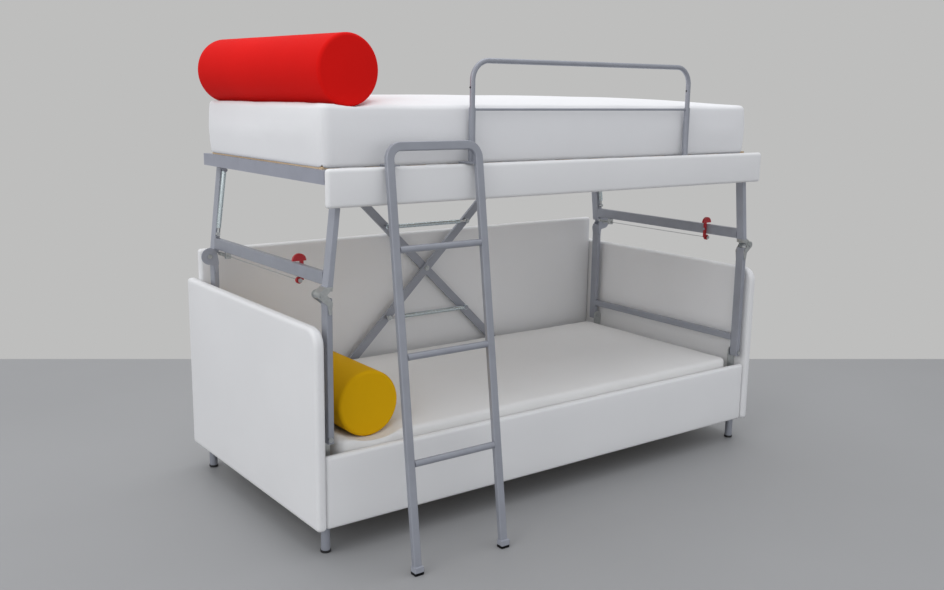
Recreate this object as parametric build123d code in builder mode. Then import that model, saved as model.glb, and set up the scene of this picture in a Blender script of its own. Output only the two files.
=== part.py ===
from build123d import *
import math
import os

os.makedirs("parts", exist_ok=True)

# A sofa bed shown as a bunk bed. X runs along its length, minus Y is its front, and Z is up.
# All sizes are in millimetres. The origin is on the floor, under the middle of the whole part.

# Overall sizes
arm_span = 2080
arm_depth = 1040
arm_top = 750
panel_bottom = 90
ladder_reach = 261
overrun = 5
fit_gap = 0.3
pin_clearance = 0.1

total_depth = arm_depth + ladder_reach
arm_front_y = ladder_reach - total_depth / 2
arm_rear_y = arm_front_y + arm_depth

# Upholstered panels
arm_thick = 36
arm_front_round = 55
arm_rear_round = 14
arm_bottom_round = 8
panel_edge_round = 8
panel_side_gap = 0.5
front_panel_set_back = 6.5
front_panel_thick = 30
front_panel_top = 335
back_panel_set_back = 17
back_panel_thick = 36
back_panel_top = 862
upper_panel_proud = 18
upper_panel_thick = 28
upper_panel_top = 1234
upper_panel_height = 121
upper_panel_side_gap = 4

arm_inner_x = arm_span / 2 - arm_thick
front_panel_y = arm_front_y + front_panel_set_back
front_panel_rear_y = front_panel_y + front_panel_thick
back_panel_rear_y = arm_rear_y - back_panel_set_back
back_panel_y = back_panel_rear_y - back_panel_thick
upper_panel_y = arm_front_y - upper_panel_proud
upper_panel_rear_y = upper_panel_y + upper_panel_thick

# Steel tube sections
tube_thick = 20
post_depth = 38
tube_corner = 3
rail_height = 42
base_rail_height = 60
base_end_rail_width = 40
plate_thick = 5

# Fore and aft places of the leg frames
post_set_back = 10
rear_post_gap = 53
front_post_y0 = upper_panel_rear_y + post_set_back
front_post_y1 = front_post_y0 + post_depth
rear_post_y1 = back_panel_y - rear_post_gap
rear_post_y0 = rear_post_y1 - post_depth
seat_gap = 0.5

# Pivots of the folding leg frames, all of them lines along Y
lower_pivot_gap = 24
lower_pivot_x = arm_inner_x - lower_pivot_gap
lower_pivot_z = 385
knee_gap = 1
knee_x = arm_inner_x - knee_gap
knee_z = 848
top_pivot_gap = 124
top_pivot_x = arm_inner_x - top_pivot_gap
top_pivot_z = 1193
pivot_bolt_radius = 5
pivot_head_radius = 8.5
pivot_head_thick = 3.6
pin_head_thick = 2

# Lower leg frame
lower_post_gap = 27
lower_post_x = arm_inner_x - lower_post_gap
lower_post_bottom = 371
lower_post_top = 836
lower_crossbar_z = 449
lower_crossbar_height = 27

# Upper leg frame
upper_post_bottom_gap = 28.5
upper_post_bottom_x = arm_inner_x - upper_post_bottom_gap
upper_post_bottom = 859
upper_post_top_gap = 69.6
upper_post_top_x = arm_inner_x - upper_post_top_gap
upper_post_top = 1200
upper_crossbar_z = 894.5
upper_crossbar_height = 41
upper_crossbar_gap = 33
upper_crossbar_x = arm_inner_x - upper_crossbar_gap
slot_inward = 27
slot_outward = 7
lug_shift = 2
top_lug_drop = 14
knee_lug_rise = 12
cheek_thick = 4
cheek_radius = 9
knee_disc_radius = 31
knee_lobe_radius = 14
knee_lug_radius = 12
knee_tail_drop = 46
top_lug_radius = 12

# Base
slat_thick = 8
slat_width = 60
slat_count = 13
base_rail_bottom = 147
base_rear_rail_gap = 43.5
foot_gap = 17
foot_x = arm_inner_x - foot_gap
foot_front_gap = 52
foot_rear_gap = 62
foot_radius = 15
glide_radius = 17
glide_height = 9
glide_chamfer = 2
bracket_width = 40
bracket_round = 20

base_rail_top = base_rail_bottom + base_rail_height
lower_slat_top = base_rail_top + slat_thick
base_end_x0 = arm_inner_x - panel_side_gap - base_end_rail_width
base_end_x1 = arm_inner_x - panel_side_gap

# Upper bed frame
frame_end_gap = 8
frame_half_length = arm_inner_x - frame_end_gap
frame_top = 1226
frame_rear_gap = 57
end_rail_x0 = frame_half_length - tube_thick
frame_bottom = frame_top - rail_height
frame_rear_y = back_panel_y - frame_rear_gap
long_rail_front_y0 = front_post_y1 + seat_gap
long_rail_rear_y1 = rear_post_y0 - seat_gap
upper_slat_top = frame_top + slat_thick

# Mattresses
upper_mattress_edge = 171
lower_mattress_edge = 120
mattress_crown = 40
mattress_corner = 60
mattress_soft_edge = 22
upper_mattress_end_gap = 14
upper_mattress_length = 2 * (frame_half_length - upper_mattress_end_gap)
upper_mattress_shift = -11
upper_mattress_front_gap = 26
upper_mattress_rear_gap = 8
lower_mattress_end_gap = 21.5
lower_mattress_length = 2 * (base_end_x0 - lower_mattress_end_gap)
lower_mattress_front_gap = 2.5
lower_mattress_rear_gap = 70

upper_mattress_y = upper_panel_rear_y + upper_mattress_front_gap
upper_mattress_width = frame_rear_y - upper_mattress_rear_gap - upper_mattress_y
lower_mattress_y = front_panel_rear_y + lower_mattress_front_gap
lower_mattress_width = back_panel_y - lower_mattress_rear_gap - lower_mattress_y
crown_shares = [(0.15, 0.085, 0.10), (0.50, 0.14, 0.17), (0.85, 0.21, 0.26), (1.00, 0.30, 0.38)]

# Bolsters
bolster_radius = 110
bolster_crown = 2
bolster_end_round = 16
bolster_end_crown = 8
upper_bolster_end_gap = 116
upper_bolster_x = upper_bolster_end_gap - arm_inner_x
upper_bolster_length = 830
upper_bolster_turn = 4
upper_bolster_front_gap = 78
upper_bolster_rest = 4.2
lower_bolster_end_gap = 206
lower_bolster_x = lower_bolster_end_gap - arm_inner_x
lower_bolster_length = 790
lower_bolster_front_gap = 86
lower_bolster_rest = 6

# Crossed brace behind the lower mattress
brace_half = 705.5
brace_bottom_z = 215
brace_top_z = 1195
brace_bar_width = 34
brace_bar_thick = 12
brace_gap = 1
brace_front_gap = 44
brace_roller_radius = 17.6
brace_bolt_radius = 6
brace_washer_radius = 12
brace_washer_thick = 2
brace_nut_radius = 8.4
brace_nut_thick = 4
brace_pin_proud = 1
channel_wall = 3
channel_side_gap = 1
channel_depth = 40
channel_end_gap = 25
brace_lug_gap = 26
bed_drop = 701

brace_angle = math.asin((brace_top_z - brace_bottom_z) / (2 * brace_half))
brace_left_x = -brace_half * math.cos(brace_angle)
brace_folded_angle = math.asin((brace_top_z - brace_bottom_z - bed_drop) / (2 * brace_half))
brace_folded_x = brace_left_x + 2 * brace_half * math.cos(brace_folded_angle)
brace_centre_z = (brace_bottom_z + brace_top_z) / 2
arm_a_y0 = back_panel_y - brace_front_gap
arm_a_y1 = arm_a_y0 + brace_bar_thick
arm_b_y0 = arm_a_y1 + brace_gap
arm_b_y1 = arm_b_y0 + brace_bar_thick

# Struts across the brace
strut_arm_share = 0.398
strut_tube_radius = 9
strut_rod_radius = 5
strut_tube_start = 18
strut_tube_end = 42
strut_eye_radius = 11
strut_eye_thick = 10
strut_pin_radius = 4
brace_strut_gap = 14
brace_bracket_places = (-450, 200, 800)

# Struts at the ends of the upper bed
gas_y_gap = 4
gas_eye_half = 5
gas_rear_gap = 103

gas_y = back_panel_y - gas_rear_gap
gas_top_gap = 66
gas_top_x = arm_inner_x - gas_top_gap
gas_top_z = 1166
gas_bottom_gap = 33
gas_bottom_x = arm_inner_x - gas_bottom_gap
gas_bottom_z = 930
gas_tube_radius = 8.5
gas_rod_radius = 4
gas_tube_share = 0.9
gas_eye_radius = 7
gas_pin_radius = 3
gas_pin_head_radius = 5

# Latch under each upper crossbar
latch_gap = 38
latch_x = arm_inner_x - latch_gap
latch_z = 858
latch_pin_radius = 4
latch_wire_radius = 1.2
latch_collar_radius = 7
latch_collar_thick = 8
latch_collar_gap = 8
latch_block_width = 20
latch_block_thick = 14
latch_block_gap = 73
latch_travel = 12
spring_wire_radius = 0.8
spring_mean_radius = 5.6
spring_turns = 7
spring_wire_sides = 6
left_lever_gap = 245
right_lever_gap = 223
latch_block_drop = 10
lever_thumb_rise = 6
lever_thumb_gap = 40
lever_thumb_radius = 24
lever_thick = 9
lever_stem_width = 10.7
lever_ring_radius = 11
lever_ring_hole = 5.4
lever_pivot_radius = 2.5
lever_stud_head = 5
wire_nut_gap = 4
wire_nut_thick = 4
wire_nut_radius = 7

# Guard rail
guard_left_gap = 558
guard_right_gap = 428
guard_left_x = guard_left_gap - arm_inner_x
guard_right_x = arm_inner_x - guard_right_gap
guard_top_z = 1569
guard_tube_radius = 9
guard_bend = 64
sleeve_radius = 11.3
sleeve_bore = 9.3
sleeve_top = 1410
sleeve_bottom = 1200
guard_insert = 60
guard_bar_radius = 4
guard_bar_drop = 6
button_z = 1474
button_radius = 3
button_length = 6
button_proud = 2.5
button_hole_depth = 7

# Ladder
ladder_side_gap = 342
ladder_x = ladder_side_gap - arm_inner_x
ladder_side_lean = 1.6
ladder_half_width = 168
ladder_top_z = 1308
ladder_lean = 9.7
ladder_tube_width = 28
ladder_tube_depth = 18
ladder_corner = 4
ladder_bend = 42
ladder_foot_inset = 14
ladder_cap_depth = 28
ladder_hook_reach = 36
hook_thick = 4
hook_inset = 2
hook_drop = 6
hook_lip_gap = 12

hook_lip_y = upper_panel_rear_y + hook_lip_gap
rung_radius = 11
rung_gap = 0.4
rung_heights = (335, 660, 985)
ladder_cap_wall = 2
ladder_cap_height = 26
ladder_cap_floor = 4


def save(builder, label):
    """Labels a finished piece and writes it."""
    builder.part.label = label
    export_step(builder.part, f"parts/{label}.step")


def tube(start, end, across, width, height, corner, mode=Mode.ADD):
    """A straight bar of rounded rectangular section; across is the direction of its width."""
    run = Vector(*end) - Vector(*start)
    with BuildSketch(Plane(origin=start, x_dir=across, z_dir=run)) as section:
        RectangleRounded(width, height, corner)
    extrude(section.sketch, amount=run.length, mode=mode)


def rod(start, end, radius, mode=Mode.ADD):
    """A round bar between two points."""
    run = Vector(*end) - Vector(*start)
    with BuildSketch(Plane(origin=start, z_dir=run)) as section:
        Circle(radius)
    extrude(section.sketch, amount=run.length, mode=mode)


def block(x0, x1, y0, y1, z0, z1, mode=Mode.ADD):
    """A square-edged block between two corners."""
    with BuildSketch(Plane(origin=((x0 + x1) / 2, (y0 + y1) / 2, z0))) as section:
        Rectangle(x1 - x0, y1 - y0)
    extrude(section.sketch, amount=z1 - z0, mode=mode)


def disc_link(y0, y1, first, first_radius, second, second_radius, mode=Mode.ADD):
    """A plate round two points (x, z), from y0 to y1."""
    with BuildSketch(Plane.XZ.offset(-y1)) as section:
        with Locations(first):
            Circle(first_radius)
        with Locations(second):
            Circle(second_radius)
        make_hull()
    extrude(section.sketch, amount=y1 - y0, mode=mode)


def bolt(x, z, y0, y1, radius, head_radius, head_thick):
    """A bolt along Y from y0 to y1, with its head in front and its nut behind."""
    rod((x, y0 - head_thick, z), (x, y0, z), head_radius)
    rod((x, y0, z), (x, y1, z), radius)
    with BuildSketch(Plane.XZ.offset(-(y1 + head_thick))) as nut:
        with Locations((x, z)):
            RegularPolygon(head_radius, side_count=6)
    extrude(nut.sketch, amount=head_thick)


def panel(x0, x1, y0, y1, z0, z1, label):
    """An upholstered board with its edges rounded."""
    with BuildPart() as board:
        block(x0, x1, y0, y1, z0, z1)
        fillet(board.edges(), panel_edge_round)
    save(board, label)


# Arm panels
for side, name in ((-1, "left"), (1, "right")):
    x0, x1 = sorted((side * arm_inner_x, side * arm_span / 2))
    with BuildPart() as arm:
        block(x0, x1, arm_front_y, arm_rear_y, panel_bottom, arm_top)
        fillet(arm.edges().filter_by(Axis.X).group_by(Axis.Z)[0], arm_bottom_round)
        fillet(arm.edges().filter_by(Axis.X).group_by(Axis.Z)[-1].sort_by(Axis.Y)[0], arm_front_round)
        fillet(arm.edges().filter_by(Axis.X).group_by(Axis.Z)[-1].sort_by(Axis.Y)[-1], arm_rear_round)
        rims = arm.faces().sort_by(Axis.X)
        fillet(rims[0].edges() + rims[-1].edges(), panel_edge_round - 1)
    save(arm, f"{name}_arm_panel")

# Front, back and upper front panels
panel(
    -arm_inner_x + panel_side_gap, arm_inner_x - panel_side_gap,
    front_panel_y, front_panel_rear_y, panel_bottom, front_panel_top, "front_panel",
)
panel(
    -arm_inner_x + panel_side_gap, arm_inner_x - panel_side_gap,
    back_panel_y, back_panel_rear_y, panel_bottom, back_panel_top, "back_panel",
)
panel(
    -arm_inner_x + upper_panel_side_gap, arm_inner_x - upper_panel_side_gap,
    upper_panel_y, upper_panel_rear_y, upper_panel_top - upper_panel_height, upper_panel_top,
    "upper_front_panel",
)

# Base frame
base_front_rail_y = front_panel_rear_y
base_rear_rail_y1 = long_rail_rear_y1 + base_rear_rail_gap
base_rear_rail_y0 = base_rear_rail_y1 - tube_thick
bracket_front_y0 = front_post_y1 + seat_gap
bracket_rear_y1 = rear_post_y0 - seat_gap
with BuildPart() as base_long_rails:
    block(
        -base_end_x0, base_end_x0, base_front_rail_y, base_front_rail_y + tube_thick,
        base_rail_bottom, base_rail_top,
    )
    block(
        -base_end_x0, base_end_x0, base_rear_rail_y0, base_rear_rail_y1, base_rail_bottom,
        base_rail_top,
    )
save(base_long_rails, "base_long_rails")

with BuildPart() as base_end_rails:
    for side in (-1, 1):
        x0, x1 = sorted((side * base_end_x0, side * base_end_x1))
        block(x0, x1, front_panel_rear_y, back_panel_y, base_rail_bottom, base_rail_top)
        for y0 in (bracket_front_y0, bracket_rear_y1 - plate_thick):
            pivot = (side * lower_pivot_x, lower_pivot_z)
            foot = (side * foot_x, base_rail_top - bracket_round)
            disc_link(y0, y0 + plate_thick, pivot, bracket_round, foot, foot_radius)
            rod(
                (pivot[0], y0, lower_pivot_z), (pivot[0], y0 + plate_thick, lower_pivot_z),
                pivot_bolt_radius + pin_clearance, Mode.SUBTRACT,
            )
save(base_end_rails, "base_end_rails")

slat_span = 2 * base_end_x0 - slat_width
with BuildPart() as base_slats:
    for k in range(slat_count):
        x = slat_span * (k / (slat_count - 1) - 1 / 2)
        block(
            x - slat_width / 2, x + slat_width / 2, base_front_rail_y, base_rear_rail_y1,
            base_rail_top, lower_slat_top,
        )
save(base_slats, "base_slats")

foot_places = [
    (side * foot_x, y) for side in (-1, 1) for y in (
        arm_front_y + foot_front_gap, arm_rear_y - foot_rear_gap - slat_thick,
    )
]
with BuildPart() as base_feet:
    for x, y in foot_places:
        rod((x, y, glide_height), (x, y, base_rail_bottom), foot_radius)
save(base_feet, "base_feet")

with BuildPart() as foot_glides:
    for x, y in foot_places:
        rod((x, y, 0), (x, y, glide_height), glide_radius)
    chamfer(foot_glides.edges().group_by(Axis.Z)[0], glide_chamfer)
save(foot_glides, "foot_glides")

with BuildPart() as lower_pivot_bolts:
    for x in (-lower_pivot_x, lower_pivot_x):
        bolt(
            x, lower_pivot_z, front_post_y0 - fit_gap, bracket_front_y0 + plate_thick,
            pivot_bolt_radius, pivot_head_radius, pivot_head_thick,
        )
        bolt(
            x, lower_pivot_z, bracket_rear_y1 - plate_thick, rear_post_y1 + fit_gap,
            pivot_bolt_radius, pivot_head_radius, pivot_head_thick,
        )
save(lower_pivot_bolts, "lower_pivot_bolts")

# Mattresses
def mattress(x, length, front_y, width, base_z, edge, label):
    """A block of foam in its cover, with soft edges and a crowned top."""
    middle = (x, front_y + width / 2)
    with BuildPart() as pad:
        with BuildSketch(Plane(origin=(middle[0], middle[1], base_z))) as outline:
            RectangleRounded(length, width, mattress_corner)
        extrude(outline.sketch, amount=edge)
        fillet(pad.faces().sort_by(Axis.Z)[0].edges(), mattress_soft_edge / 2)
        levels = [(0, 0, 0)] + crown_shares
        for (low, low_x, low_y), (high, high_x, high_y) in zip(levels, levels[1:]):
            for share, in_x, in_y in ((low, low_x, low_y), (high, high_x, high_y)):
                level = Plane(origin=(middle[0], middle[1], base_z + edge + share * mattress_crown))
                with BuildSketch(level):
                    RectangleRounded(length * (1 - 2 * in_x), width * (1 - 2 * in_y), mattress_corner)
            loft(ruled=True)
    save(pad, label)


mattress(
    upper_mattress_shift, upper_mattress_length, upper_mattress_y, upper_mattress_width,
    upper_slat_top, upper_mattress_edge, "upper_mattress",
)
mattress(
    0, lower_mattress_length, lower_mattress_y, lower_mattress_width, lower_slat_top,
    lower_mattress_edge, "lower_mattress",
)


# Bolsters
def bolster(x, front_y, z, length, turn, label):
    """A round cushion lying from front to back, a little fuller in the middle, with domed ends."""
    run = Vector(-math.sin(math.radians(turn)), math.cos(math.radians(turn)), 0)
    middle = Vector(x, front_y + length / 2, z)
    half = length / 2 - bolster_end_crown
    flat = half - bolster_end_round
    rim = bolster_radius - bolster_end_round
    bend = bolster_end_round * math.sqrt(1 / 2)
    dome = (rim**2 + bolster_end_crown**2) / (2 * bolster_end_crown)
    dome_x = half + bolster_end_crown - dome + math.sqrt(dome**2 - rim**2 / 4)
    with BuildPart() as cushion:
        with BuildSketch(Plane(origin=middle, x_dir=run, z_dir=run.cross(Vector(0, 0, 1)))) as profile:
            with BuildLine():
                Line((-half - bolster_end_crown, 0), (half + bolster_end_crown, 0))
                ThreePointArc((half + bolster_end_crown, 0), (dome_x, rim / 2), (half, rim))
                ThreePointArc((half, rim), (flat + bend, rim + bend), (flat, bolster_radius))
                ThreePointArc(
                    (flat, bolster_radius), (0, bolster_radius + bolster_crown),
                    (-flat, bolster_radius),
                )
                ThreePointArc((-flat, bolster_radius), (-flat - bend, rim + bend), (-half, rim))
                ThreePointArc((-half, rim), (-dome_x, rim / 2), (-half - bolster_end_crown, 0))
            make_face()
        revolve(axis=Axis(middle, run))
    save(cushion, label)


bolster_rise = bolster_radius + bolster_crown
bolster(
    upper_bolster_x, arm_front_y + upper_bolster_front_gap,
    upper_slat_top + upper_mattress_edge + upper_bolster_rest + bolster_rise,
    upper_bolster_length, upper_bolster_turn, "upper_bolster",
)
bolster(
    lower_bolster_x, arm_front_y + lower_bolster_front_gap,
    lower_slat_top + lower_mattress_edge + lower_bolster_rest + bolster_rise,
    lower_bolster_length, 0, "lower_bolster",
)

# Leg frames, left and right
front_lug_y1 = front_post_y1 - seat_gap
for side, name in ((-1, "left"), (1, "right")):
    pivot = (side * lower_pivot_x, lower_pivot_z)
    knee = (side * knee_x, knee_z)
    top_pivot = (side * top_pivot_x, top_pivot_z)
    posts = ((front_post_y0, front_post_y1), (rear_post_y0, rear_post_y1))

    with BuildPart() as lower_posts:
        for y0, y1 in posts:
            middle_y = (y0 + y1) / 2
            tube(
                (side * lower_post_x, middle_y, lower_post_bottom),
                (side * lower_post_x, middle_y, lower_post_top),
                (0, 1, 0), post_depth, tube_thick, tube_corner,
            )
            rod(
                (pivot[0], y0, pivot[1]), (pivot[0], y1, pivot[1]),
                pivot_bolt_radius + pin_clearance, Mode.SUBTRACT,
            )
    save(lower_posts, f"{name}_lower_posts")

    with BuildPart() as lower_crossbar:
        tube(
            (side * lower_post_x, front_post_y1, lower_crossbar_z),
            (side * lower_post_x, rear_post_y0, lower_crossbar_z),
            (1, 0, 0), tube_thick, lower_crossbar_height, tube_corner,
        )
    save(lower_crossbar, f"{name}_lower_crossbar")

    with BuildPart() as knee_plates:
        post_spot = (side * lower_post_x, lower_post_top - knee_tail_drop / 3)
        tail_spot = (side * lower_post_x, lower_post_top - knee_tail_drop)
        for y0, y1 in posts:
            for start in (y0 - cheek_thick, y1):
                outside = start < y1 - post_depth
                big = y0 == rear_post_y0 and start == y0 - cheek_thick
                disc_link(
                    start, start + cheek_thick, knee, knee_disc_radius if big else knee_lobe_radius,
                    post_spot, cheek_radius,
                )
                disc_link(
                    start, start + cheek_thick, post_spot, cheek_radius, tail_spot,
                    cheek_radius / 2,
                )
            rod(
                (knee[0], y0 - cheek_thick, knee[1]), (knee[0], y1 + cheek_thick, knee[1]),
                pivot_bolt_radius + pin_clearance, Mode.SUBTRACT,
            )
        for y0, y1 in posts:
            block(
                min(side * (lower_post_x + tube_thick), side * (lower_post_x - tube_thick)),
                max(side * (lower_post_x + tube_thick), side * (lower_post_x - tube_thick)),
                y0, y1, lower_post_bottom, lower_post_top, Mode.SUBTRACT,
            )
    save(knee_plates, f"{name}_knee_plates")

    with BuildPart() as knee_bolts:
        for y0, y1 in posts:
            bolt(
                knee[0], knee[1], y0 - cheek_thick, y1 + cheek_thick,
                pivot_bolt_radius, pivot_head_radius, pivot_head_thick - fit_gap,
            )
    save(knee_bolts, f"{name}_knee_bolts")

    with BuildPart() as upper_posts:
        top_spot = (side * (upper_post_top_x + lug_shift), upper_post_top - top_lug_drop)
        for k, (y0, y1) in enumerate(posts):
            middle_y = (y0 + y1) / 2
            tube(
                (side * upper_post_bottom_x, middle_y, upper_post_bottom),
                (side * upper_post_top_x, middle_y, upper_post_top),
                (0, 1, 0), post_depth, tube_thick, tube_corner,
            )
            disc_link(
                y0 + fit_gap, y1 - fit_gap, knee, knee_lug_radius,
                (side * (upper_post_bottom_x - lug_shift), upper_post_bottom + knee_lug_rise),
                cheek_radius,
            )
            rod(
                (knee[0], y0, knee[1]), (knee[0], y1, knee[1]), pivot_bolt_radius + pin_clearance,
                Mode.SUBTRACT,
            )
            lug_y0 = y1 - plate_thick if k == 0 else y0
            disc_link(lug_y0, lug_y0 + plate_thick, top_pivot, top_lug_radius, top_spot, cheek_radius)
            rod(
                (top_pivot[0], lug_y0, top_pivot[1]), (top_pivot[0], lug_y0 + plate_thick, top_pivot[1]),
                pivot_bolt_radius, Mode.SUBTRACT,
            )
    save(upper_posts, f"{name}_upper_posts")

    with BuildPart() as top_bolts:
        bolt(
            top_pivot[0], top_pivot[1], front_post_y1 - plate_thick,
            long_rail_front_y0 + tube_thick + fit_gap,
            pivot_bolt_radius, pivot_head_radius, pivot_head_thick,
        )
        bolt(
            top_pivot[0], top_pivot[1], long_rail_rear_y1 - tube_thick - fit_gap,
            rear_post_y0 + plate_thick,
            pivot_bolt_radius, pivot_head_radius, pivot_head_thick,
        )
    save(top_bolts, f"{name}_top_bolts")

    # Upper crossbar with the lever stud and the lug of the end strut
    bar_x = side * upper_crossbar_x
    bar_inner_x = side * (upper_crossbar_x - tube_thick / 2)
    lever_y = arm_front_y + (left_lever_gap if side < 0 else right_lever_gap)
    stem_x0 = bar_inner_x - side * fit_gap
    stem_x1 = stem_x0 - side * lever_stem_width
    stud_x = stem_x1 - side * fit_gap
    with BuildPart() as upper_crossbar:
        tube(
            (bar_x, front_post_y1, upper_crossbar_z), (bar_x, rear_post_y0, upper_crossbar_z),
            (1, 0, 0), tube_thick, upper_crossbar_height, tube_corner,
        )
        rod((bar_x, lever_y, upper_crossbar_z), (stud_x, lever_y, upper_crossbar_z), lever_pivot_radius)
        rod(
            (stud_x, lever_y, upper_crossbar_z),
            (stud_x - side * pin_head_thick, lever_y, upper_crossbar_z), lever_stud_head,
        )
        disc_link(
            gas_y + gas_eye_half + fit_gap, gas_y + gas_eye_half + fit_gap + plate_thick,
            (side * gas_bottom_x, gas_bottom_z), gas_eye_radius, (bar_x, upper_crossbar_z), cheek_radius,
        )
    save(upper_crossbar, f"{name}_upper_crossbar")

    # Latch
    x_pin = side * latch_x
    block_y1 = gas_y - latch_block_gap + latch_block_thick / 2
    block_y0 = block_y1 - latch_block_thick
    pin_tip_y = rear_post_y0 - cheek_thick - fit_gap
    collar_y0 = pin_tip_y - latch_collar_gap - latch_collar_thick
    with BuildPart() as latch_block:
        block(
            x_pin - latch_block_width / 2, x_pin + latch_block_width / 2, block_y0, block_y1,
            latch_z - latch_block_drop, upper_crossbar_z - upper_crossbar_height / 2,
        )
        fillet(latch_block.edges().filter_by(Axis.Y).group_by(Axis.Z)[0], tube_corner)
        rod(
            (x_pin, block_y0, latch_z), (x_pin, block_y1, latch_z), latch_pin_radius + fit_gap,
            Mode.SUBTRACT,
        )
    save(latch_block, f"{name}_latch_block")

    with BuildPart() as latch_rod:
        rod((x_pin, block_y0 - latch_travel / 3, latch_z), (x_pin, pin_tip_y, latch_z), latch_pin_radius)
        rod(
            (x_pin, collar_y0, latch_z), (x_pin, collar_y0 + latch_collar_thick, latch_z),
            latch_collar_radius,
        )
        nut_y = lever_y - lever_thick / 2 - wire_nut_gap
        rod((x_pin, nut_y, latch_z), (x_pin, block_y0, latch_z), latch_wire_radius)
        rod((x_pin, nut_y - wire_nut_thick, latch_z), (x_pin, nut_y, latch_z), wire_nut_radius)
    save(latch_rod, f"{name}_latch_rod")

    spring_length = collar_y0 - latch_travel - block_y1 - 2 * fit_gap - 2 * spring_wire_radius
    with BuildPart() as latch_spring:
        with BuildLine() as coil:
            Helix(
                pitch=spring_length / spring_turns, height=spring_length, radius=spring_mean_radius,
                center=(x_pin, block_y1 + fit_gap + spring_wire_radius, latch_z), direction=(0, 1, 0),
            )
        with BuildSketch(coil.line ^ 0):
            RegularPolygon(spring_wire_radius, side_count=spring_wire_sides)
        sweep(path=coil.line)
    print(
        f"{name} spring: least gap between turns",
        round(spring_length / spring_turns - 2 * spring_wire_radius, 2),
    )
    save(latch_spring, f"{name}_latch_spring")

    thumb_z = upper_crossbar_z + upper_crossbar_height / 2 + lever_thumb_rise
    thumb_x = side * (arm_inner_x - lever_thumb_gap)
    with BuildPart() as lever:
        with BuildSketch(Plane.XZ.offset(-lever_y - lever_thick / 2)) as outline:
            with Locations((thumb_x, thumb_z)):
                Circle(lever_thumb_radius)
            with Locations((thumb_x, thumb_z - lever_thumb_radius)):
                Rectangle(2 * lever_thumb_radius, 2 * lever_thumb_radius, mode=Mode.SUBTRACT)
            with Locations(((stem_x0 + stem_x1) / 2, (latch_z + thumb_z + lever_thumb_rise) / 2)):
                Rectangle(lever_stem_width, thumb_z + lever_thumb_rise - latch_z)
            with Locations((x_pin, latch_z)):
                Circle(lever_ring_radius)
                Circle(lever_ring_hole, mode=Mode.SUBTRACT)
        extrude(outline.sketch, amount=lever_thick)
        rod(
            (stem_x0, lever_y, upper_crossbar_z), (stem_x1, lever_y, upper_crossbar_z),
            lever_pivot_radius + pin_clearance, Mode.SUBTRACT,
        )
    save(lever, f"{name}_release_lever")

# Upper bed frame
frame_end_x = frame_half_length - tube_thick
with BuildPart() as upper_long_rails:
    for y0 in (long_rail_front_y0, long_rail_rear_y1 - tube_thick):
        block(-frame_end_x, frame_end_x, y0, y0 + tube_thick, frame_bottom, frame_top)
        rod(
            (-top_pivot_x, y0, top_pivot_z), (-top_pivot_x, y0 + tube_thick, top_pivot_z),
            pivot_bolt_radius + pin_clearance, Mode.SUBTRACT,
        )
        disc_link(
            y0, y0 + tube_thick, (top_pivot_x - slot_inward, top_pivot_z), pivot_bolt_radius + fit_gap,
            (top_pivot_x + slot_outward, top_pivot_z), pivot_bolt_radius + fit_gap, Mode.SUBTRACT,
        )
save(upper_long_rails, "upper_long_rails")

with BuildPart() as upper_end_rails:
    for side in (-1, 1):
        x0, x1 = sorted((side * frame_end_x, side * frame_half_length))
        block(x0, x1, upper_panel_rear_y, back_panel_y - frame_rear_gap, frame_bottom, frame_top)
        eye = (side * gas_top_x, gas_top_z)
        plate_y1 = gas_y - gas_eye_half - gas_y_gap
        disc_link(
            plate_y1 - plate_thick, plate_y1, eye, gas_eye_radius,
            (side * (frame_end_x + cheek_radius), frame_bottom + tube_thick), cheek_radius,
        )
        rod((eye[0], plate_y1, eye[1]), (eye[0], gas_y + gas_eye_half + fit_gap, eye[1]), gas_pin_radius)
        rod(
            (eye[0], gas_y + gas_eye_half + fit_gap, eye[1]),
            (eye[0], gas_y + gas_eye_half + fit_gap + pin_head_thick, eye[1]),
            gas_pin_head_radius,
        )
save(upper_end_rails, "upper_end_rails")

slat_span = 2 * frame_end_x - slat_width
with BuildPart() as upper_slats:
    for k in range(slat_count):
        x = slat_span * (k / (slat_count - 1) - 1 / 2)
        block(
            x - slat_width / 2, x + slat_width / 2, long_rail_front_y0, long_rail_rear_y1,
            frame_top, upper_slat_top,
        )
save(upper_slats, "upper_slats")

# Guard rail in its sleeves
guard_y = upper_panel_rear_y + sleeve_radius + fit_gap
with BuildPart() as sleeves:
    rod(
        (guard_left_x, guard_y, sleeve_top - guard_bar_drop),
        (guard_right_x, guard_y, sleeve_top - guard_bar_drop),
        guard_bar_radius,
    )
    for x in (guard_left_x, guard_right_x):
        rod((x, guard_y, sleeve_bottom), (x, guard_y, sleeve_top), sleeve_radius)
        block(
            x - plate_thick / 2, x + plate_thick / 2, guard_y, long_rail_front_y0,
            sleeve_bottom, frame_top - slat_thick,
        )
    for x in (guard_left_x, guard_right_x):
        rod((x, guard_y, sleeve_bottom), (x, guard_y, sleeve_top), sleeve_bore, Mode.SUBTRACT)
save(sleeves, "guard_sleeve_frame")

guard_line_z = guard_top_z - guard_tube_radius
guard_bottom = sleeve_top - guard_insert
with BuildPart() as guard:
    with BuildLine() as path:
        FilletPolyline(
            (guard_left_x, guard_y, guard_bottom), (guard_left_x, guard_y, guard_line_z),
            (guard_right_x, guard_y, guard_line_z), (guard_right_x, guard_y, guard_bottom),
            radius=guard_bend,
        )
    with BuildSketch(Plane(origin=(guard_left_x, guard_y, guard_bottom))):
        Circle(guard_tube_radius)
    sweep(path=path.line)
    for x in (guard_left_x, guard_right_x):
        rod(
            (x - guard_tube_radius - overrun, guard_y, button_z),
            (x - guard_tube_radius + button_hole_depth, guard_y, button_z), button_radius + fit_gap,
            Mode.SUBTRACT,
        )
save(guard, "guard_rail")

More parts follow.
